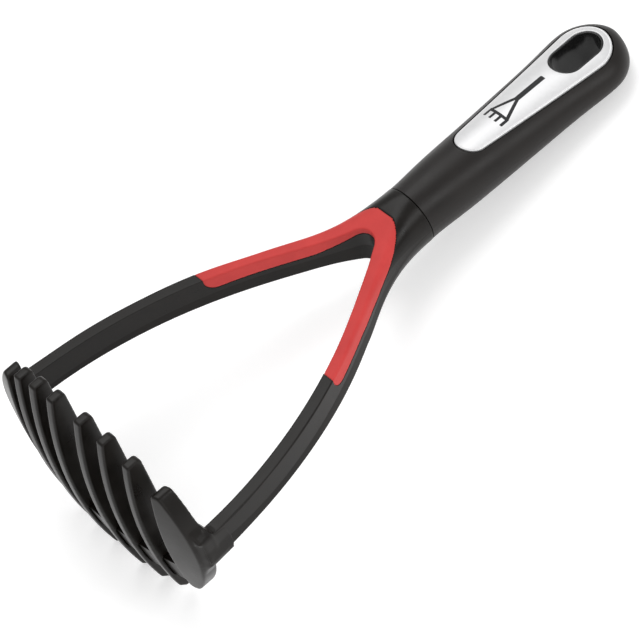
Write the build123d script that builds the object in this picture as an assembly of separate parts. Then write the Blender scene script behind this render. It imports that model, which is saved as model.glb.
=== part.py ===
from build123d import *
import math
import os

# A hand potato masher: an oval rake of eight curved blades, a Y-shaped yoke and a straight grip.
# It is modelled in a tool frame, in millimetres: X across the tool, Y from the mashing face up to
# the butt of the grip, Z out of the front, where the face plate is. lay_down() then turns the whole
# tool onto its back, as it lies on a table.

# ---- driving dimensions ----
# mashing head
FACE_LOW_Y = -0.9              # lowest point of the convex mashing face
FACE_RADIUS_X = 175.0          # radius of the mashing face across the blades
FACE_RADIUS_Z = 153.0          # and along them
BLADE_THICKNESS = 3.9
BLADE_PITCH = 12.05
MIDDLE_PITCH = 16.3            # the two middle blades stand further apart
INNER_BLADES_PER_SIDE = 3
TIP_OVAL_X = 59.0              # the blade tips lie on an oval with these half-axes
TIP_OVAL_Z = 46.0
TIP_OVAL_MIDDLE_Z = 0.3
TIP_HEIGHT = 6.2               # height of an inner blade at its tips
CROWN_RISE = 0.7               # the top edge of a blade rises this much from tip to middle
TIP_CORNER = 1.9
BLADE_EDGE = 0.45
LEAF_HEIGHT = 6.8              # the outer blades are leaf-shaped, this high
LEAF_OUTER_X = 56.6
LEAF_HALF_LENGTH = 29.1
LEAF_MIDDLE_Z = 0.5
LEAF_CORNER = 1.7
WEB_FRONT = -15.0              # the shallow web that joins the blades, behind the middle
WEB_BACK = -28.0
WEB_RECESS = 1.5
WEB_THICKNESS = 3.0

# yoke, in front view: the outer faces of its two arms, and the V opening between them
ARM_FOOT_Y = 11.5              # the arms end here, inside the head's sockets
ARM_LEAN = 3.7                 # degrees, lean of the straight lower part of an arm
ARM_STRAIGHT_TOP = 20.0
ARM_OUTER_X = 58.1             # outer and inner faces of an arm at the top of its straight part
ARM_INNER_X = 53.0
OUTER_BEND_RADIUS = 219.0
OUTER_SPLAY = 28.0             # degrees, splay of an arm's outer face below the throat
INNER_BEND_RADIUS = 216.0
INNER_SPLAY = 31.0
CROTCH_RADIUS = 7.0
COLLAR_RADIUS = 12.4
COLLAR_MIDDLE_Z = -0.5         # the collar is a little deeper than wide, towards the back
COLLAR_DEPTH = 12.6
COLLAR_TOP_Y = 166.0           # the arms' outer faces have swept into the round collar here
COLLAR_SEAM_Y = 167.2
INNER_FLARE_Z = -1.8           # behind this level the opening narrows
INNER_FLARE_ANGLE = 11.0
INNER_FLARE_CUT = 12.0         # depth of the narrowing cut, more than the arms have behind that level

# yoke, in side view and in section:
# (Y, front Z, back Z, front corner radius, back corner radius, outer flare, Z where the flare starts)
YOKE_SECTIONS = [
    (11.5, 8.3, -3.9, 0.5, 0.5, 0.7, 1.6),
    (24.0, 7.95, -4.0, 0.5, 0.5, 0.6, 0.4),
    (40.0, 7.65, -4.15, 0.5, 0.5, 0.55, -1.0),
    (60.0, 7.45, -4.65, 0.5, 0.5, 0.6, -1.7),
    (80.0, 7.2, -5.25, 0.5, 0.5, 0.7, -1.8),
    (92.0, 7.05, -5.65, 0.6, 0.5, 0.75, -1.8),
    (104.0, 6.85, -6.0, 1.4, 0.6, 0.75, -1.8),
    (116.0, 6.65, -6.2, 1.9, 0.9, 0.65, -1.8),
    (126.0, 6.4, -6.3, 2.2, 1.4, 0.5, -1.7),
    (134.0, 6.4, -6.6, 2.9, 2.3, 0.35, -1.5),
    (142.0, 7.1, -7.7, 4.6, 4.2, 0.15, -1.2),
    (150.0, 8.8, -9.6, 7.2, 7.2, 0.05, -0.8),
    (158.0, 10.8, -11.7, 10.0, 10.2, 0.03, -0.8),
    (163.0, 11.8, -12.8, 11.6, 11.7, 0.02, -0.6),
    (COLLAR_SEAM_Y, COLLAR_MIDDLE_Z + COLLAR_DEPTH, COLLAR_MIDDLE_Z - COLLAR_DEPTH, 12.2, 12.2, 0.02, -0.5),
]
LEAST_CORNER = 0.25
YOKE_JOINT = 7                 # index of the section where the arms' loft meets the throat's
TANG_LENGTH = 52.0
TANG_WIDTH = 13.0
TANG_DEPTH = 9.0
TANG_CORNER = 2.0
TANG_TIP_WIDTH = 10.0
TANG_TIP_DEPTH = 6.5
TANG_TIP_CORNER = 1.5

# red soft-touch overlay on the front half of the yoke's V
OVERLAY_THICKNESS = 1.3
OVERLAY_BOTTOM_Y = 92.0
OVERLAY_TOP_Y = 157.5
OVERLAY_EDGE_Z = 0.4           # its straight lower edge along an arm's sides
OVERLAY_END_RISE = 5.0         # its end is cut off at a slant on the sides over this length
OVERLAY_END_HOLLOW = 0.3       # share of it at the slanted end's middle
OVERLAY_SWEEP_Y = 130.0        # its edge sweeps up to the front from here, through the next point
OVERLAY_SWEEP_POINT = (147.6, 5.2)
OVERLAY_TOP_Z = 10.6           # and its upper end starts at this level

# head sockets that take the arms
SOCKET_WALL = 1.5
SOCKET_TONGUE = 1.9
ARM_OVERHANG = 0.5             # the socket stands out this far from the arm's outer and front faces
SOCKET_TOP_Y = 17.0
TONGUE_TOP_Y = 23.0
GUSSET_FRONT_Z = 17.0          # the hollow gusset in front of an arm starts here
GUSSET_RISE = 0.7              # and has risen this much at this distance from the arm
GUSSET_RUN = 3.0

# grip
GRIP_START_Y = COLLAR_SEAM_Y + 0.4
GRIP_END_RADIUS = 16.8         # length of the rounded butt beyond the last section
# grip sections: (Y, half-width, half-depth, Z of the middle)
GRIP_SECTIONS = [
    (GRIP_START_Y, COLLAR_RADIUS, COLLAR_DEPTH, COLLAR_MIDDLE_Z),
    (184.0, 13.4, 12.75, -0.5),
    (202.0, 14.2, 12.5, -0.75),
    (218.0, 14.9, 11.9, -0.75),
    (232.0, 15.5, 11.4, -0.65),
    (247.0, 16.4, 10.8, -0.55),
    (262.4, 17.6, 10.15, -0.4),
]
BUTT_STEPS = 6                 # sections of the rounded butt
BUTT_END_ANGLE = 85.0          # degrees along the butt's quarter circle at its last section
BUTT_BLUNTNESS = 0.55          # below 1 the butt stays thick towards its end
SHELL_WALL = 2.2
PLATE_THICKNESS = 1.0
ADHESIVE_THICKNESS = 0.4
PLATE_GAP = 0.35
PLATE_TIP_Y = 203.4
PLATE_TIP_RADIUS = 7.2
PLATE_END_Y = 262.0
PLATE_END_RADIUS = 12.4
HOLE_START_Y = 254.3           # centres of the hang slot's two round ends
HOLE_END_Y = 263.8
HOLE_RADIUS = 7.5              # hole in the plate
PAD_MARGIN = 1.0               # the adhesive pad is this much smaller than the plate
EYELET_WALL = 0.9
EYELET_DROP = 0.5              # the eyelet's front lip lies this far below the plate

REACH = 40.0                   # more than the tool's depth, for cuts right through it
TILT_GUESS = 8.0               # degrees, first guess at how far the lying tool leans
TILT_STEPS = 3

# ---- general helpers ----
def lean(angle):
    """Unit vector that leans inwards from +Y by an angle in degrees."""
    return (-math.sin(math.radians(angle)), math.cos(math.radians(angle)))


def prism_z(profile, z_low, z_high):
    """Extrude a face drawn in X and Y from z_low to z_high."""
    return extrude(Pos(0, 0, z_low) * profile, amount=z_high - z_low, dir=(0, 0, 1))


def mirrored(part):
    return mirror(part, about=Plane.YZ)


# ---- mashing head ----
def face_height(x, z):
    """Y of the mashing face."""
    return FACE_LOW_Y + x * x / (2 * FACE_RADIUS_X) + z * z / (2 * FACE_RADIUS_Z)


def above_face(rise):
    """Solid that fills everything above the mashing face raised by rise."""
    low_y = FACE_LOW_Y + rise
    centre_y = low_y + FACE_RADIUS_X
    rim = 70.0
    rim_y = low_y + rim * rim / (2 * FACE_RADIUS_Z)
    edge = ThreePointArc((0, rim_y, -rim), (0, low_y, 0), (0, rim_y, rim))
    outline = edge + Polyline((0, rim_y, rim), (0, centre_y, rim), (0, centre_y, -rim), (0, rim_y, -rim))
    bowl = revolve(make_face(outline), Axis((0, centre_y, 0), (0, 0, 1)), 360)
    return bowl & Pos(0, low_y + rim / 2, 0) * Box(2 * rim, rim, 2 * rim)


def blade_centres():
    """X of the inner blades on the right side, then of the end blade."""
    return [MIDDLE_PITCH / 2 + i * BLADE_PITCH for i in range(INNER_BLADES_PER_SIDE + 1)]


def make_inner_blade(x):
    half = TIP_OVAL_Z * math.sqrt(1 - (x / TIP_OVAL_X) ** 2)
    front, back = TIP_OVAL_MIDDLE_Z + half, TIP_OVAL_MIDDLE_Z - half
    front_low, back_low = face_height(x, front), face_height(x, back)
    front_high, back_high = front_low + TIP_HEIGHT, back_low + TIP_HEIGHT
    crown = (front_high + back_high) / 2 + CROWN_RISE
    bottom = ThreePointArc((x, back_low, back), (x, face_height(x, 0), 0), (x, front_low, front))
    top = ThreePointArc((x, front_high, front), (x, crown, TIP_OVAL_MIDDLE_Z), (x, back_high, back))
    ends = Line((x, front_low, front), (x, front_high, front))
    ends += Line((x, back_high, back), (x, back_low, back))
    plate = extrude(make_face(bottom + ends + top), BLADE_THICKNESS / 2, dir=(1, 0, 0), both=True)
    corners = plate.edges().filter_by(Axis.X)
    plate = fillet(corners.sort_by(Axis.Y)[-2:], TIP_CORNER)
    corners = plate.edges().filter_by(Axis.X).sort_by(Axis.Y)[:2]
    plate = fillet(corners, BLADE_EDGE)
    sides = plate.faces().filter_by(Axis.X)
    return fillet(sides.edges(), BLADE_EDGE * 0.9)


def make_end_blade():
    """Leaf-shaped outer blade on the +X side."""
    inner_x = blade_centres()[-1] - BLADE_THICKNESS / 2
    tip_x = inner_x + BLADE_THICKNESS
    front, back = LEAF_MIDDLE_Z + LEAF_HALF_LENGTH, LEAF_MIDDLE_Z - LEAF_HALF_LENGTH
    outline = ThreePointArc((tip_x, 0, back), (LEAF_OUTER_X, 0, LEAF_MIDDLE_Z), (tip_x, 0, front))
    outline += Polyline((tip_x, 0, front), (inner_x, 0, front), (inner_x, 0, back), (tip_x, 0, back))
    leaf = extrude(Pos(0, FACE_LOW_Y, 0) * make_face(outline), REACH, dir=(0, 1, 0))
    leaf = fillet(leaf.edges().filter_by(Axis.Y), LEAF_CORNER)
    leaf = (leaf & above_face(0)) - above_face(LEAF_HEIGHT)
    return fillet(leaf.edges().filter_by(Axis.Y, reverse=True), BLADE_EDGE)


def make_cross_web():
    reach = blade_centres()[-1]
    middle = (WEB_FRONT + WEB_BACK) / 2
    slab = Pos(0, 0, middle) * Box(2 * reach, REACH, WEB_FRONT - WEB_BACK)
    return (slab & above_face(WEB_RECESS)) - above_face(WEB_RECESS + WEB_THICKNESS)


# ---- yoke ----
def outer_x(y):
    """Half-width of the yoke at height y: straight feet, bend, straight splay, sweep to the collar."""
    start, end = math.radians(ARM_LEAN), math.radians(OUTER_SPLAY)
    if y <= ARM_STRAIGHT_TOP:
        return ARM_OUTER_X + (ARM_STRAIGHT_TOP - y) * math.tan(start)
    bend_end_y = ARM_STRAIGHT_TOP + OUTER_BEND_RADIUS * (math.sin(end) - math.sin(start))
    if y <= bend_end_y:
        turned = math.asin((y - ARM_STRAIGHT_TOP) / OUTER_BEND_RADIUS + math.sin(start))
        return ARM_OUTER_X - OUTER_BEND_RADIUS * (math.cos(start) - math.cos(turned))
    bend_end_x = ARM_OUTER_X - OUTER_BEND_RADIUS * (math.cos(start) - math.cos(end))
    corner_y = bend_end_y + (bend_end_x - COLLAR_RADIUS) / math.tan(end)
    sweep_radius = (COLLAR_TOP_Y - corner_y) / math.tan(end / 2)
    sweep_start_y = COLLAR_TOP_Y - sweep_radius * math.sin(end)
    if y <= sweep_start_y:
        return bend_end_x - (y - bend_end_y) * math.tan(end)
    below = max(COLLAR_TOP_Y - y, 0.0)
    return COLLAR_RADIUS + sweep_radius - math.sqrt(sweep_radius ** 2 - below ** 2)


def yoke_section(row, inset):
    """Section across the whole yoke at one height, every face but the back moved inwards by inset."""
    y, front, back, front_corner, back_corner, flare, flare_z = row
    side = outer_x(y) - inset
    top = front - inset
    wide = side + flare
    round_f, round_b = max(front_corner - inset, LEAST_CORNER), max(back_corner - inset, LEAST_CORNER)
    mid_f, mid_b = round_f * (1 - math.sqrt(0.5)), round_b * (1 - math.sqrt(0.5))
    half = ThreePointArc((side - round_f, y, top), (side - mid_f, y, top - mid_f), (side, y, top - round_f))
    half += Line((side, y, top - round_f), (side, y, flare_z))
    half += Line((side, y, flare_z), (wide, y, back + round_b))
    half += ThreePointArc((wide, y, back + round_b), (wide - mid_b, y, back + mid_b),
                          (wide - round_b, y, back))
    across_back = Line((wide - round_b, y, back), (round_b - wide, y, back))
    across_front = Line((round_f - side, y, top), (side - round_f, y, top))
    return make_face(half + across_back + mirrored(half) + across_front)


def make_opening(inset):
    """Face that fills the V between the arms, widened by inset and run out below the feet."""
    low = lean(ARM_LEAN)
    start = (ARM_INNER_X + inset, ARM_STRAIGHT_TOP)
    drop = ARM_STRAIGHT_TOP + REACH
    foot = (start[0] - drop * low[0] / low[1], start[1] - drop)
    bend = JernArc(start, low, INNER_BEND_RADIUS + inset, INNER_SPLAY - ARM_LEAN)
    high = lean(INNER_SPLAY)
    bend_end = bend @ 1
    apex_y = bend_end.Y + bend_end.X * high[1] / -high[0]
    radius = CROTCH_RADIUS + inset
    tangent = radius * -high[1] / high[0]
    crotch = (-tangent * high[0], apex_y - tangent * high[1])
    right = Line(foot, start) + bend + Line(bend_end, crotch)
    crotch_top = apex_y - radius / -high[0] + radius
    arc = ThreePointArc(crotch, (0, crotch_top), (-crotch[0], crotch[1]))
    return make_face(right + arc + mirrored(right) + Line((-foot[0], foot[1]), foot))


def make_yoke_loft(inset):
    """The yoke without its opening: two lofts that share their middle sections and meet at one."""
    faces = [yoke_section(row, inset) for row in YOKE_SECTIONS]
    joint = YOKE_JOINT
    split_y = YOKE_SECTIONS[joint][0]
    reach = 2 * COLLAR_SEAM_Y
    arms = loft(faces[:joint + 2]) & Pos(0, split_y - reach / 2, 0) * Box(reach, reach, reach)
    throat = loft(faces[joint - 1:]) & Pos(0, split_y + reach / 2, 0) * Box(reach, reach, reach)
    return arms + throat


def make_yoke_body(inset=0.0):
    """The yoke's outer shape, from the feet to the seam, with the V between its arms cut out."""
    opening = make_opening(inset)
    front_cut = prism_z(opening, INNER_FLARE_Z, REACH)
    back_cut = extrude(Pos(0, 0, INNER_FLARE_Z) * opening, INNER_FLARE_CUT, dir=(0, 0, -1),
                       taper=INNER_FLARE_ANGLE)
    return make_yoke_loft(inset) - front_cut - back_cut


def overlay_region():
    """Side view of the space that the overlay takes, swept across the whole tool."""
    low, edge, rise = OVERLAY_BOTTOM_Y, OVERLAY_EDGE_Z, OVERLAY_END_RISE
    sweep = OVERLAY_SWEEP_Y
    profile = Polyline((0, OVERLAY_TOP_Y, OVERLAY_TOP_Z), (0, OVERLAY_TOP_Y, REACH), (0, low, REACH),
                       (0, low, edge + rise))
    hollow = OVERLAY_END_HOLLOW * rise
    profile += ThreePointArc((0, low, edge + rise), (0, low + hollow, edge + hollow), (0, low + rise, edge))
    profile += Line((0, low + rise, edge), (0, sweep, edge))
    profile += ThreePointArc((0, sweep, edge), (0, *OVERLAY_SWEEP_POINT), (0, OVERLAY_TOP_Y, OVERLAY_TOP_Z))
    return extrude(make_face(profile), 2 * ARM_OUTER_X, dir=(1, 0, 0), both=True)


def make_tang():
    """Tapered tongue of the yoke that the grip's core is pushed onto."""
    root = Pos(0, COLLAR_SEAM_Y, 0) * Rot(90, 0, 0) * RectangleRounded(TANG_WIDTH, TANG_DEPTH, TANG_CORNER)
    tip_y = COLLAR_SEAM_Y + TANG_LENGTH
    tip_shape = RectangleRounded(TANG_TIP_WIDTH, TANG_TIP_DEPTH, TANG_TIP_CORNER)
    return loft([root, Pos(0, tip_y, 0) * Rot(90, 0, 0) * tip_shape])


# ---- head sockets ----
def make_socket(arm):
    """Shoe on top of the +X leaf: front gusset, walls round the arm's foot and a back tongue."""
    _, front, back, *_ = YOKE_SECTIONS[0]
    inner_x = ARM_INNER_X - SOCKET_WALL
    outer_x_face = ARM_OUTER_X + ARM_OVERHANG
    leaf_top = face_height(LEAF_OUTER_X, 0) + LEAF_HEIGHT
    bottom = leaf_top - LEAF_HEIGHT / 2
    front_z = front + ARM_OVERHANG
    back_z = back - SOCKET_TONGUE
    side = Polyline((0, bottom, GUSSET_FRONT_Z), (0, leaf_top, GUSSET_FRONT_Z))
    side += ThreePointArc((0, leaf_top, GUSSET_FRONT_Z), (0, leaf_top + GUSSET_RISE, front_z + GUSSET_RUN),
                          (0, SOCKET_TOP_Y, front_z))
    side += Polyline((0, SOCKET_TOP_Y, front_z), (0, SOCKET_TOP_Y, back), (0, TONGUE_TOP_Y, back),
                     (0, TONGUE_TOP_Y, back_z), (0, bottom, back_z), (0, bottom, GUSSET_FRONT_Z))
    block = extrude(Pos(inner_x, 0, 0) * make_face(side), outer_x_face - inner_x, dir=(1, 0, 0))
    return (block & above_face(LEAF_HEIGHT)) - arm


# ---- grip ----
def grip_sections(inset):
    """Sections of the grip, then of its rounded butt, moved inwards by inset."""
    rows = [(y, a - inset, b - inset, m) for y, a, b, m in GRIP_SECTIONS]
    y0, a0, b0, m0 = GRIP_SECTIONS[-1]
    for i in range(1, BUTT_STEPS + 1):
        t = math.radians(BUTT_END_ANGLE * i / BUTT_STEPS)
        reach = (GRIP_END_RADIUS - inset) * math.sin(t)
        a = (a0 - inset) * math.cos(t)
        b = (b0 - inset) * math.cos(t) ** BUTT_BLUNTNESS
        rows.append((y0 + reach, a, b, m0))
    return rows


def make_grip_solid(inset=0.0):
    rows = grip_sections(inset)
    return loft([Pos(0, y, m) * Rot(90, 0, 0) * Ellipse(a, b) for y, a, b, m in rows])


def slot_prism(radius):
    """Stadium prism along the hang slot."""
    middle = (HOLE_START_Y + HOLE_END_Y) / 2
    straight = HOLE_END_Y - HOLE_START_Y
    stadium = Pos(0, middle, 0) * Rot(0, 0, 90) * SlotCenterToCenter(straight, 2 * radius)
    return prism_z(stadium, -REACH, REACH)


def plate_prism(grow=0.0):
    """Teardrop outline of the face plate, over the front half of the grip."""
    small = PLATE_TIP_RADIUS + grow
    large = PLATE_END_RADIUS + grow
    span = PLATE_END_Y - PLATE_TIP_Y
    slope = math.asin((large - small) / span)
    side = (math.cos(slope), -math.sin(slope))
    low = (small * side[0], PLATE_TIP_Y + small * side[1])
    high = (large * side[0], PLATE_END_Y + large * side[1])
    outline = Line(low, high) + ThreePointArc(high, (0, PLATE_END_Y + large), (-high[0], high[1]))
    outline += Line((-high[0], high[1]), (-low[0], low[1]))
    outline += ThreePointArc((-low[0], low[1]), (0, PLATE_TIP_Y - small), low)
    return prism_z(make_face(outline), 0, REACH)


def make_grip_nodes(tang):
    outside = make_grip_solid()
    core_space = make_grip_solid(SHELL_WALL)
    under_plate = make_grip_solid(PLATE_THICKNESS)
    under_pad = make_grip_solid(PLATE_THICKNESS + ADHESIVE_THICKNESS)
    slot = slot_prism(HOLE_RADIUS)
    pocket = plate_prism(PLATE_GAP) - under_pad
    shell = outside - core_space - slot - pocket
    core = core_space - slot - tang
    plate = ((outside & plate_prism()) - under_plate) - slot
    pad = (under_plate & plate_prism(-PAD_MARGIN)) - under_pad - slot_prism(HOLE_RADIUS + PAD_MARGIN)
    lip = make_grip_solid(EYELET_DROP)
    eyelet = (slot - slot_prism(HOLE_RADIUS - EYELET_WALL)) & lip
    return {"handle_shell": shell, "handle_core": core, "face_plate": plate, "plate_adhesive": pad,
            "hang_eyelet": eyelet}


# ---- assembly ----
def make_tool():
    """Every node of the tool in the tool frame."""
    nodes = {}
    web = make_cross_web()
    centres = blade_centres()
    numbered = [-x for x in reversed(centres[:-1])] + centres[:-1]
    for number, x in enumerate(numbered, start=2):
        nodes[f"blade_{number}"] = make_inner_blade(x) - web
    leaf = make_end_blade()
    yoke_full = make_yoke_body()
    region = overlay_region()
    overlay = (yoke_full & region) - make_yoke_body(OVERLAY_THICKNESS)
    yoke = yoke_full - overlay
    tang = make_tang()
    socket = make_socket(yoke)
    nodes["end_blade_right"] = leaf - web - yoke
    nodes["end_blade_left"] = mirrored(nodes["end_blade_right"])
    nodes["socket_right"] = socket
    nodes["socket_left"] = mirrored(socket)
    nodes["cross_web"] = web
    nodes["yoke"] = yoke + tang
    nodes["yoke_overlay"] = overlay
    nodes.update(make_grip_nodes(tang))
    return nodes


def resting_tilt(nodes):
    """Angle at which the tool rests on the blades' rear tips and on its grip."""
    butt_y = GRIP_SECTIONS[-1][0]
    tilt = TILT_GUESS
    for _ in range(TILT_STEPS):
        turn = Rot(-tilt, 0, 0)
        head_low = min((turn * nodes[name]).bounding_box().min.Z for name in ("blade_3", "blade_4"))
        grip_low = (turn * nodes["handle_shell"]).bounding_box().min.Z
        tilt += math.degrees(math.atan2(grip_low - head_low, butt_y))
    return tilt


def lay_down(nodes):
    """Turn the tool onto its back and centre it on the ground."""
    tilt = resting_tilt(nodes)
    turned = {name: Rot(-tilt, 0, 0) * part for name, part in nodes.items()}
    box = Compound(children=[Compound(part.solids()) for part in turned.values()]).bounding_box()
    shift = Pos(0, -(box.min.Y + box.max.Y) / 2, -box.min.Z)
    return {name: shift * part for name, part in turned.items()}


def main():
    os.makedirs("parts", exist_ok=True)
    for name, part in lay_down(make_tool()).items():
        part.label = name
        export_step(part, f"parts/{name}.step")


main()
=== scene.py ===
import math

import bmesh
import bpy
from mathutils import Matrix, Vector


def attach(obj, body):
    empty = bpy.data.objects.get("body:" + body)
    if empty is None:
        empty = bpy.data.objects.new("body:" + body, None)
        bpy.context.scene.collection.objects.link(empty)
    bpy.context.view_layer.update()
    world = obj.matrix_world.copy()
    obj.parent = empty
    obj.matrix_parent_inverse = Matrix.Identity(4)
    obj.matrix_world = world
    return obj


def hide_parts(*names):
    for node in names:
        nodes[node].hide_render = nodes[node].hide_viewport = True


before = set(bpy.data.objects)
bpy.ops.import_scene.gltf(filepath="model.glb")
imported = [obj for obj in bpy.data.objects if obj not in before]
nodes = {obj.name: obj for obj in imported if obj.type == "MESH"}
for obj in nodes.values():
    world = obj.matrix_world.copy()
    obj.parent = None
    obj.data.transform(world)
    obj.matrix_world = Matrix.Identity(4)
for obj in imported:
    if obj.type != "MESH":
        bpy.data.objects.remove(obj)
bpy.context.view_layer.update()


# ---- materials ----
def new_material(name):
    """Empty node material with its Principled shader, and a function that adds nodes."""
    material = bpy.data.materials.new(name)
    material.use_nodes = True
    tree = material.node_tree
    shader = tree.nodes["Principled BSDF"]

    def add(kind, **settings):
        node = tree.nodes.new(kind)
        for key, value in settings.items():
            setattr(node, key, value)
        return node

    return material, tree, shader, add


def object_noise(tree, add, scale, detail=2.0, roughness=0.5):
    """Noise in object space, in metres, so that its size doesn't depend on the mesh."""
    place = add("ShaderNodeTexCoord")
    noise = add("ShaderNodeTexNoise")
    noise.inputs["Scale"].default_value = scale
    noise.inputs["Detail"].default_value = detail
    noise.inputs["Roughness"].default_value = roughness
    tree.links.new(place.outputs["Object"], noise.inputs["Vector"])
    return noise


def map_range(tree, add, source, low, high, from_low=0.3, from_high=0.7):
    """Stretch a value from one range to another; noise fills about 0.3 to 0.7."""
    node = add("ShaderNodeMapRange")
    node.inputs["From Min"].default_value = from_low
    node.inputs["From Max"].default_value = from_high
    node.inputs["To Min"].default_value = low
    node.inputs["To Max"].default_value = high
    tree.links.new(source, node.inputs["Value"])
    return node.outputs["Result"]


def mix_colours(tree, add, factor, first, second):
    """Colour between two by a factor."""
    node = add("ShaderNodeMix", data_type="RGBA")
    node.inputs[6].default_value = (*first, 1)
    node.inputs[7].default_value = (*second, 1)
    tree.links.new(factor, node.inputs[0])
    return node.outputs[2]


MOTTLE_SCALE = 90.0            # mottles per metre in a moulded colour
GRAIN_SHARE = 0.3              # share of the fine grain in the gloss, on top of the mottles
GRAIN_STRENGTH = 0.6


def moulded(name, dark, light, rough, grain_size, grain_depth, specular=0.5, edge=0.0004):
    """Moulded plastic: faint mottled colour, a fine spark-eroded grain, rounded edges, uneven gloss.

    The grain's size and depth and the edges' radius are in metres.
    """
    material, tree, shader, add = new_material(name)
    mottle = object_noise(tree, add, MOTTLE_SCALE, 4.0, 0.6)
    grain = object_noise(tree, add, 1.0 / grain_size, 2.0, 0.6)
    speck = map_range(tree, add, grain.outputs["Fac"], 0.0, 1.0)
    cloud = map_range(tree, add, mottle.outputs["Fac"], 0.0, 1.0)
    tree.links.new(mix_colours(tree, add, cloud, dark, light), shader.inputs["Base Color"])
    blend = add("ShaderNodeMath", operation="MULTIPLY_ADD")
    tree.links.new(speck, blend.inputs[0])
    blend.inputs[1].default_value = GRAIN_SHARE
    tree.links.new(cloud, blend.inputs[2])
    tree.links.new(map_range(tree, add, blend.outputs[0], rough[0], rough[1], 0.0, 1.0 + GRAIN_SHARE),
                   shader.inputs["Roughness"])
    bump = add("ShaderNodeBump")
    bump.inputs["Strength"].default_value = GRAIN_STRENGTH
    bump.inputs["Distance"].default_value = grain_depth
    tree.links.new(grain.outputs["Fac"], bump.inputs["Height"])
    rounding = add("ShaderNodeBevel", samples=6)
    rounding.inputs["Radius"].default_value = edge
    tree.links.new(rounding.outputs["Normal"], bump.inputs["Normal"])
    tree.links.new(bump.outputs["Normal"], shader.inputs["Normal"])
    shader.inputs["Specular IOR Level"].default_value = specular
    return material


black_nylon = moulded("black_nylon", (0.0046, 0.0036, 0.0028), (0.0080, 0.0063, 0.0050), (0.26, 0.38),
                      0.0006, 0.00002, 0.21, 0.0006)
black_grip = moulded("black_grip", (0.0080, 0.0064, 0.0056), (0.0118, 0.0096, 0.0084), (0.36, 0.48),
                     0.0005, 0.00003, 0.28)
red_soft = moulded("red_soft", (0.50, 0.034, 0.032), (0.57, 0.047, 0.043), (0.55, 0.66),
                   0.0005, 0.00002, 0.3, 0.0008)
mark_ink = moulded("mark_ink", (0.012, 0.012, 0.013), (0.020, 0.020, 0.021), (0.5, 0.6),
                   0.0005, 0.00001, 0.3)
gloss_black = moulded("gloss_black", (0.006, 0.006, 0.006), (0.010, 0.010, 0.010), (0.12, 0.2),
                      0.0012, 0.000004)
core_plastic = moulded("core_plastic", (0.02, 0.02, 0.02), (0.03, 0.03, 0.03), (0.4, 0.5),
                       0.0006, 0.00002)


def satin_metal():
    """Satin silver plate with a very fine cloudiness in its colour and gloss."""
    material, tree, shader, add = new_material("satin_plate")
    shader.inputs["Metallic"].default_value = 0.45
    cloud = object_noise(tree, add, 500.0, 3.0)
    level = map_range(tree, add, cloud.outputs["Fac"], 0.0, 1.0)
    tree.links.new(mix_colours(tree, add, level, (0.70, 0.70, 0.705), (0.73, 0.73, 0.735)),
                   shader.inputs["Base Color"])
    tree.links.new(map_range(tree, add, cloud.outputs["Fac"], 0.40, 0.44), shader.inputs["Roughness"])
    return material


satin_plate = satin_metal()


def paint(material, *names):
    """Give CAD pieces a material in every slot of their meshes."""
    for name in names:
        slots = nodes[name].data.materials
        if not slots:
            slots.append(material)
        for i in range(len(slots)):
            slots[i] = material


BLADES = [f"blade_{i}" for i in range(2, 8)]
paint(black_nylon, "end_blade_left", "end_blade_right", "socket_left", "socket_right", "cross_web",
      "yoke", *BLADES)
paint(red_soft, "yoke_overlay")
paint(black_grip, "handle_shell")
paint(core_plastic, "handle_core", "plate_adhesive")
paint(satin_plate, "face_plate")
paint(gloss_black, "hang_eyelet")


# ---- the tool frame of the CAD: X across, Y up the handle, Z out of the front, in millimetres ----
TILT = math.radians(7.745072)  # the lying tool leans by this angle
SHIFT_Y, SHIFT_Z = -137.388152, 46.25746


def place(x, y, z):
    """Point of the tool frame, in the shared frame and in metres."""
    c, s = math.cos(TILT), math.sin(TILT)
    return Vector((x, c * y + s * z + SHIFT_Y, c * z - s * y + SHIFT_Z)) / 1000


# sections of the grip: (Y, half-width, half-depth, Z of the middle)
GRIP_ROWS = [(167.6, 12.4, 12.6, -0.5), (184.0, 13.4, 12.75, -0.5), (202.0, 14.2, 12.5, -0.75),
             (218.0, 14.9, 11.9, -0.75), (232.0, 15.5, 11.4, -0.65), (247.0, 16.4, 10.8, -0.55),
             (262.4, 17.6, 10.15, -0.4)]
BUTT_LENGTH = 16.8             # length of the rounded butt beyond the last section
BUTT_BLUNTNESS = 0.55
LAST_BUTT_SHARE = 0.996        # the butt is followed up to this share of its length
LEAST_RISE = 0.02              # keeps the grip's surface defined past its sides


def grip_section(y):
    """Half-width, half-depth and middle Z of the grip at height y."""
    last_y, last_a, last_b, last_m = GRIP_ROWS[-1]
    if y >= last_y:
        turn = math.asin(min((y - last_y) / BUTT_LENGTH, LAST_BUTT_SHARE))
        return last_a * math.cos(turn), last_b * math.cos(turn) ** BUTT_BLUNTNESS, last_m
    i = max(k for k in range(len(GRIP_ROWS) - 1) if GRIP_ROWS[k][0] <= y)
    rows = [GRIP_ROWS[max(min(k, len(GRIP_ROWS) - 1), 0)] for k in (i - 1, i, i + 1, i + 2)]
    span = rows[2][0] - rows[1][0]
    t = (y - rows[1][0]) / span
    values = []
    for column in (1, 2, 3):
        p0, p1, p2, p3 = (row[column] for row in rows)
        m1 = (p2 - p0) / max(rows[2][0] - rows[0][0], 1) * span
        m2 = (p3 - p1) / max(rows[3][0] - rows[1][0], 1) * span
        values.append((2 * t**3 - 3 * t**2 + 1) * p1 + (t**3 - 2 * t**2 + t) * m1
                      + (3 * t**2 - 2 * t**3) * p2 + (t**3 - t**2) * m2)
    return values


def grip_front(x, y):
    """Z of the grip's front at x, y."""
    a, b, m = grip_section(y)
    return m + b * math.sqrt(max(1 - (x / a) ** 2, LEAST_RISE))


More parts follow.
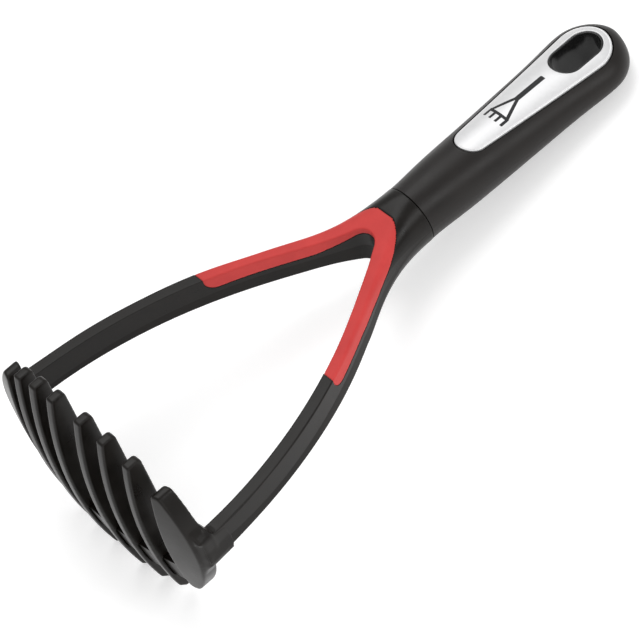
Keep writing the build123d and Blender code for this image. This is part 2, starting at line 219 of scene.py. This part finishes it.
def grip_back(x, y):
    """Z of the grip's back at x, y."""
    a, b, m = grip_section(y)
    return m - b * math.sqrt(max(1 - (x / a) ** 2, LEAST_RISE))


def new_piece(name, vertices, faces, material, replaced=()):
    """Smooth visible piece on the one body, in place of the CAD nodes that it replaces."""
    mesh = bpy.data.meshes.new(name)
    mesh.from_pydata([tuple(v) for v in vertices], [], faces)
    mesh.materials.append(material)
    mesh.shade_smooth()
    piece = bpy.data.objects.new(name, mesh)
    bpy.context.scene.collection.objects.link(piece)
    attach(piece, "root")
    if replaced:
        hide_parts(*replaced)
    return piece


def ring_strip(rings, closed=False):
    """Faces between closed rings of equal length, with the last joined to the first if closed."""
    count = len(rings[0])
    vertices = [v for ring in rings for v in ring]
    faces = []
    for r in range(len(rings) if closed else len(rings) - 1):
        low, high = r * count, (r + 1) % len(rings) * count
        for i in range(count):
            j = (i + 1) % count
            faces.append((low + i, low + j, high + j, high + i))
    return vertices, faces


# ---- face plate and eyelet ----
PLATE_TIP_Y, PLATE_TIP_RADIUS = 203.4, 7.0
PLATE_END_Y, PLATE_END_RADIUS = 262.0, 12.15
HOLE_LOW_Y, HOLE_HIGH_Y, HOLE_RADIUS = 254.3, 263.8, 7.5
HOLE_TAPER = 0.001             # the slot's upper end is wider by this hair
ROUND_STEPS = 288              # points round the plate and round the slot
ARC_STEPS = 40


def half_capsule(low, low_radius, high, high_radius):
    """Right half of the hull of two circles on the Y axis, from its top to its foot."""
    slope = math.asin((high_radius - low_radius) / (high - low))
    points = []
    for i in range(ARC_STEPS + 1):
        turn = -slope + (math.pi / 2 + slope) * i / ARC_STEPS
        points.append((high_radius * math.cos(turn), high + high_radius * math.sin(turn)))
    side = [(low_radius * math.cos(-slope), low + low_radius * math.sin(-slope))]
    for i in range(1, ARC_STEPS + 1):
        turn = -slope - (math.pi / 2 - slope) * i / ARC_STEPS
        side.append((low_radius * math.cos(turn), low + low_radius * math.sin(turn)))
    return points[::-1] + side


def outline(low, low_radius, high, high_radius):
    """Closed outline of two circles' hull, as points at even steps of its length."""
    right = half_capsule(low, low_radius, high, high_radius)
    loop = right + [(-x, y) for x, y in reversed(right[1:-1])]
    lengths = [0.0]
    for a, b in zip(loop, loop[1:] + loop[:1]):
        lengths.append(lengths[-1] + math.dist(a, b))
    points, k = [], 0
    for i in range(ROUND_STEPS):
        target = lengths[-1] * i / ROUND_STEPS
        while lengths[k + 1] < target:
            k += 1
        t = (target - lengths[k]) / (lengths[k + 1] - lengths[k])
        a, b = loop[k], loop[(k + 1) % len(loop)]
        points.append((a[0] + (b[0] - a[0]) * t, a[1] + (b[1] - a[1]) * t))
    return points


def on_grip(points, drop):
    """Lay an outline on the grip's front, sunk by drop."""
    return [(x, y, grip_front(x, y) - drop) for x, y in points]


def plate_ring(inset, drop):
    """Ring inside the plate's outline."""
    points = outline(PLATE_TIP_Y, PLATE_TIP_RADIUS - inset, PLATE_END_Y, PLATE_END_RADIUS - inset)
    return on_grip(points, drop)


def slot_outline(grow):
    """Outline of the hang slot, wider by grow."""
    radius = HOLE_RADIUS + grow
    return outline(HOLE_LOW_Y, radius, HOLE_HIGH_Y, radius + HOLE_TAPER)


PLATE_FIELD_DROP = 0.1         # the plate's field lies this far under the grip's full surface
PLATE_FIELD_STEPS = 26
# the rolled rim, from outside in: (inset, drop)
PLATE_RIM = [(0.12, 0.9), (0.12, 0.3), (0.16, 0.12), (0.3, 0.0), (0.5, -0.04), (0.62, -0.03), (0.72, 0.06),
             (0.84, 0.1)]
PLATE_RIM_END = 0.95
# the rolled edge round the slot, from the field to the slot's wall: (distance from the wall, drop)
PLATE_SLOT_EDGE = [(0.3, 0.12), (0.15, 0.18), (0.05, 0.3), (0.03, 0.9)]
PLATE_SLOT_START = 0.5


def make_face_plate():
    """Satin plate: chamfered bright rim, a field that follows the grip and a rolled edge at the slot."""
    rings = [plate_ring(inset, drop) for inset, drop in PLATE_RIM]
    edge = plate_ring(PLATE_RIM_END, PLATE_FIELD_DROP)
    hole = on_grip(slot_outline(PLATE_SLOT_START), PLATE_FIELD_DROP)
    for step in range(PLATE_FIELD_STEPS + 1):
        t = step / PLATE_FIELD_STEPS
        field = [(a[0] + (b[0] - a[0]) * t, a[1] + (b[1] - a[1]) * t) for a, b in zip(edge, hole)]
        rings.append(on_grip(field, PLATE_FIELD_DROP))
    rings += [on_grip(slot_outline(grow), drop) for grow, drop in PLATE_SLOT_EDGE]
    vertices, faces = ring_strip([[place(*p) for p in ring] for ring in rings])
    return new_piece("face_plate_satin", vertices, faces, satin_plate, ["face_plate"])


MARK_Y = 214.0                 # foot of the mark, a plain pictogram of a masher
MARK_TOP_DROP, MARK_RIM_DROP = 0.06, 0.12
MARK_STEP = 0.5                # length of a bar's facets
MARK_FACETS = 4                # facets across a bar
MARK_TEETH = [-4.6, -1.55, 1.55, 4.6]
# bars above the foot: (start, end, half-width)
MARK_BARS = [((x, 0.0), (x, 3.8), 0.75) for x in MARK_TEETH]
MARK_BARS += [((-5.35, 3.9), (5.35, 3.9), 0.8), ((-4.4, 4.0), (-0.4, 13.6), 0.85),
              ((4.4, 4.0), (0.4, 13.6), 0.85), ((0.0, 12.4), (0.0, 28.0), 1.5)]


def mark_bar(start, end, half_width):
    """One printed bar of the plate's mark: it follows the plate and stands a hair above it."""
    along = Vector((end[0] - start[0], end[1] - start[1]))
    side = Vector((along.y, -along.x)).normalized() * half_width
    steps, across = max(int(along.length / MARK_STEP), 2), MARK_FACETS
    vertices, faces = [], []
    for i in range(steps + 1):
        for j in range(across + 1):
            t, s = i / steps, 2 * j / across - 1
            x, y = start[0] + along.x * t + side.x * s, start[1] + along.y * t + side.y * s
            rim = i in (0, steps) or j in (0, across)
            vertices.append(place(x, y, grip_front(x, y) - (MARK_RIM_DROP if rim else MARK_TOP_DROP)))
    for i in range(steps):
        for j in range(across):
            a = i * (across + 1) + j
            faces.append((a, a + 1, a + across + 2, a + across + 1))
    return vertices, faces


def make_mark():
    """The pictogram: a handle, a V and a head with four teeth."""
    vertices, faces = [], []
    for start, end, half_width in MARK_BARS:
        points, quads = mark_bar((start[0], start[1] + MARK_Y), (end[0], end[1] + MARK_Y), half_width)
        faces += [tuple(k + len(vertices) for k in quad) for quad in quads]
        vertices += points
    return new_piece("plate_mark", vertices, faces, mark_ink)


EYELET_WALL = 0.9
EYELET_LIP = 0.45              # height of the rounded lip
EYELET_DROP = 0.45             # the lip's crest lies this far under the grip's surface
EYELET_GAP = 0.02
EYELET_STEPS = 8


def make_eyelet():
    """Glossy black sleeve through the grip, with a rounded lip at both ends."""
    half = EYELET_WALL / 2
    rings = []
    for surface, outwards in ((grip_front, 1), (grip_back, -1)):
        for i in range(EYELET_STEPS + 1):
            turn = math.pi * i / EYELET_STEPS
            drop = outwards * (EYELET_DROP + EYELET_LIP - EYELET_LIP * math.sin(turn))
            points = slot_outline(-half + outwards * half * math.cos(turn) - EYELET_GAP)
            rings.append([(x, y, surface(x, y) - drop) for x, y in points])
    vertices, faces = ring_strip([[place(*p) for p in r] for r in rings], closed=True)
    return new_piece("eyelet_sleeve", vertices, faces, gloss_black, ["hang_eyelet"])


# ---- pieces remade from the CAD solids with soft edges ----
# the outer blade's and the arm's outer faces, as in the CAD; the arm leans and its back half flares
LEAF_OUTER_X, LEAF_CURVE_RADIUS = 56.6, 46.1
ARM_OUTER_X, ARM_STRAIGHT_TOP, ARM_LEAN = 58.1, 20.0, 0.0647
ARM_FLARE, ARM_FLARE_Z, ARM_BACK_Z = 0.7, 1.6, -3.9
FOOT_LOW_Y = 9.2
FOOT_SUNK = 0.3                # the blend starts this far inside the blade's outer face
FOOT_DEPTH = 2.5               # and reaches this far into the blade and the arm
FOOT_PROUD, FOOT_TAPER = 0.25, 0.35    # it stands proud of the arm's face low down and sinks into it on top
FOOT_WIDEST_X = 59.2
# along the leaf: (Z, share of the way out to the arm's face, top Y of the blend)
FOOT_STATIONS = [(-13.0, 0.0, 13.5), (-9.0, 0.25, 14.2), (-5.7, 0.9, 21.5), (-3.8, 1.0, 24.0),
                 (-1.0, 1.0, 24.0), (1.6, 1.0, 24.0), (5.0, 1.0, 24.0), (7.2, 1.0, 23.5), (8.5, 0.97, 16.6),
                 (11.0, 0.4, 15.0), (14.5, 0.0, 13.5)]
# up the blend: (share of its height, share of the way out to the arm's face)
FOOT_RISE = [(0.0, 0.0), (0.05, 0.2), (0.1, 0.5), (0.15, 0.82), (0.2, 1.0), (0.4, 1.0), (0.7, 1.0),
             (1.0, 0.97)]


def foot_blend(sign):
    """Solid that carries an outer blade's face smoothly out to the arm's outer face."""
    rings = []
    for z, full, top in FOOT_STATIONS:
        leaf = LEAF_OUTER_X - z * z / (2 * LEAF_CURVE_RADIUS)
        flare = ARM_FLARE * min(max((ARM_FLARE_Z - z) / (ARM_FLARE_Z - ARM_BACK_Z), 0.0), 1.0)
        outer, inner = [], []
        for height, share in FOOT_RISE:
            y = FOOT_LOW_Y + (top - FOOT_LOW_Y) * height
            arm = ARM_OUTER_X + (ARM_STRAIGHT_TOP - y) * ARM_LEAN + flare
            out = min(arm + FOOT_PROUD - FOOT_TAPER * height, FOOT_WIDEST_X)
            outer.append((sign * (leaf - FOOT_SUNK + (out + FOOT_SUNK - leaf) * share * full), y, z))
            inner.append((sign * (leaf - FOOT_DEPTH), y, z))
        rings.append([place(*p) for p in outer + inner[::-1]])
    vertices, faces = ring_strip(rings)
    count = len(rings[0])
    faces += [tuple(range(count)), tuple(range(len(vertices) - count, len(vertices)))[::-1]]
    mesh = bpy.data.meshes.new("foot_blend")
    mesh.from_pydata([tuple(v) for v in vertices], [], faces)
    return mesh


CORNER_CUT = 0.0013            # depth of the cut at a blade's lower rear corner, in metres
MERGE_DISTANCE = 1e-6


def cut_rear_corner(build):
    """Take off a blade's lower rear corner at 45 degrees, so that it smooths to a round."""
    inward = (place(0, 1, 1) - place(0, 0, 0)).normalized()
    bmesh.ops.remove_doubles(build, verts=build.verts, dist=MERGE_DISTANCE)
    level = min(vertex.co.dot(inward) for vertex in build.verts) + CORNER_CUT
    cut = bmesh.ops.bisect_plane(build, geom=build.verts[:] + build.edges[:] + build.faces[:],
                                 plane_co=inward * level, plane_no=-inward, clear_outer=True)
    edges = [part for part in cut["geom_cut"] if isinstance(part, bmesh.types.BMEdge)]
    bmesh.ops.holes_fill(build, edges=edges)


def softened(name, sources, voxel, passes, swell, material, extra=None, corner=False):
    """New mesh from CAD solids, fused and with their edges and inside corners rounded.

    The smoothing draws the skin in a little; swell moves it back out. Voxel and swell are in metres.
    """
    build = bmesh.new()
    for source in sources:
        build.from_mesh(nodes[source].data)
    if extra:
        build.from_mesh(extra)
    if corner:
        cut_rear_corner(build)
    mesh = bpy.data.meshes.new(name)
    build.to_mesh(mesh)
    build.free()
    piece = bpy.data.objects.new(name, mesh)
    bpy.context.scene.collection.objects.link(piece)
    remesh = piece.modifiers.new("fuse", "REMESH")
    remesh.mode = "VOXEL"
    remesh.voxel_size = voxel
    smooth = piece.modifiers.new("soften", "SMOOTH")
    smooth.factor = 0.5
    smooth.iterations = passes
    swelling = piece.modifiers.new("swell", "DISPLACE")
    swelling.strength = swell
    swelling.mid_level = 0.0
    ready = bpy.data.meshes.new_from_object(piece.evaluated_get(bpy.context.evaluated_depsgraph_get()))
    piece.modifiers.clear()
    piece.data = ready
    ready.name = name
    ready.materials.clear()
    ready.materials.append(material)
    ready.shade_smooth()
    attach(piece, "root")
    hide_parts(*sources)
    return piece


make_face_plate()
make_mark()
make_eyelet()
softened("overlay_soft", ["yoke_overlay"], voxel=0.00027, passes=12, swell=0.00003, material=red_soft)
for side, sign in (("left", -1), ("right", 1)):
    softened(f"end_leaf_{side}", [f"end_blade_{side}", f"socket_{side}"], voxel=0.0003, passes=26,
             swell=0.00012, material=black_nylon, extra=foot_blend(sign))
for blade in BLADES:
    softened(f"{blade}_soft", [blade], voxel=0.00035, passes=14, swell=0.00008, material=black_nylon,
             corner=True)


# ---- stage ----
FLOOR_RADIUS = 4.0
FLOOR_GLOW = 0.32              # lifts the shadow on the floor
WORLD_STRENGTH = 0.62
# lights: (name, place, aim, diameter, power in watts)
LIGHTS = [("key", (-0.6, 0.4, 1.5), (0, 0, 0), 1.3, 11), ("fill", (1.3, -0.7, 0.9), (0, 0, 0), 1.4, 6),
          ("side", (1.15, 0.6, 0.85), (0, 0.05, 0), 0.6, 4)]


def make_floor():
    """Plain pale floor: a large disc."""
    mesh = bpy.data.meshes.new("floor")
    build = bmesh.new()
    bmesh.ops.create_circle(build, cap_ends=True, segments=64, radius=FLOOR_RADIUS)
    build.to_mesh(mesh)
    build.free()
    floor = bpy.data.objects.new("floor", mesh)
    bpy.context.scene.collection.objects.link(floor)
    material, tree, shader, add = new_material("floor_paper")
    noise = object_noise(tree, add, 3.0)
    level = map_range(tree, add, noise.outputs["Fac"], 0.0, 1.0)
    tree.links.new(mix_colours(tree, add, level, (0.86, 0.86, 0.86), (0.88, 0.88, 0.88)),
                   shader.inputs["Base Color"])
    shader.inputs["Roughness"].default_value = 0.9
    shader.inputs["Specular IOR Level"].default_value = 0.1
    shader.inputs["Emission Color"].default_value = (1, 1, 1, 1)
    shader.inputs["Emission Strength"].default_value = FLOOR_GLOW
    mesh.materials.append(material)


def make_world():
    """Even white light from all round."""
    world = bpy.data.worlds.new("studio")
    bpy.context.scene.world = world
    world.use_nodes = True
    background = world.node_tree.nodes["Background"]
    background.inputs["Color"].default_value = (1, 1, 1, 1)
    background.inputs["Strength"].default_value = WORLD_STRENGTH


def soft_light(name, place, aim, size, power):
    """Round soft box that faces aim."""
    data = bpy.data.lights.new(name, "AREA")
    data.shape = "DISK"
    data.size = size
    data.energy = power
    lamp = bpy.data.objects.new(name, data)
    bpy.context.scene.collection.objects.link(lamp)
    lamp.location = place
    lamp.rotation_mode = "QUATERNION"
    lamp.rotation_quaternion = (Vector(aim) - Vector(place)).to_track_quat("-Z", "Y")


# ---- camera ----
CAMERA_AIM = Vector((0.020294, -0.030735, 0.045))
CAMERA_AZIMUTH = 73.6655       # degrees; 0 looks along +Y
CAMERA_ELEVATION = 52.3469
CAMERA_ROLL = 32.6938
CAMERA_DISTANCE = 1.378438
CAMERA_LENS = 208.39           # millimetres, on a 36 mm sensor


def make_camera():
    """Camera that looks at its aim from the given distance, rolled about its own axis."""
    azimuth, elevation = math.radians(CAMERA_AZIMUTH), math.radians(CAMERA_ELEVATION)
    look = Vector((-math.sin(azimuth) * math.cos(elevation), math.cos(azimuth) * math.cos(elevation),
                   -math.sin(elevation)))
    data = bpy.data.cameras.new("camera")
    data.lens = CAMERA_LENS
    data.sensor_width = 36.0
    data.clip_start, data.clip_end = 0.05, 20.0
    camera = bpy.data.objects.new("camera", data)
    bpy.context.scene.collection.objects.link(camera)
    level = look.to_track_quat("-Z", "Y").to_matrix().to_4x4()
    camera.matrix_world = (Matrix.Translation(CAMERA_AIM - look * CAMERA_DISTANCE) @ level
                           @ Matrix.Rotation(-math.radians(CAMERA_ROLL), 4, "Z"))
    bpy.context.scene.camera = camera


make_camera()
make_floor()
make_world()
for light in LIGHTS:
    soft_light(*light)
bpy.context.scene.view_settings.view_transform = "Standard"
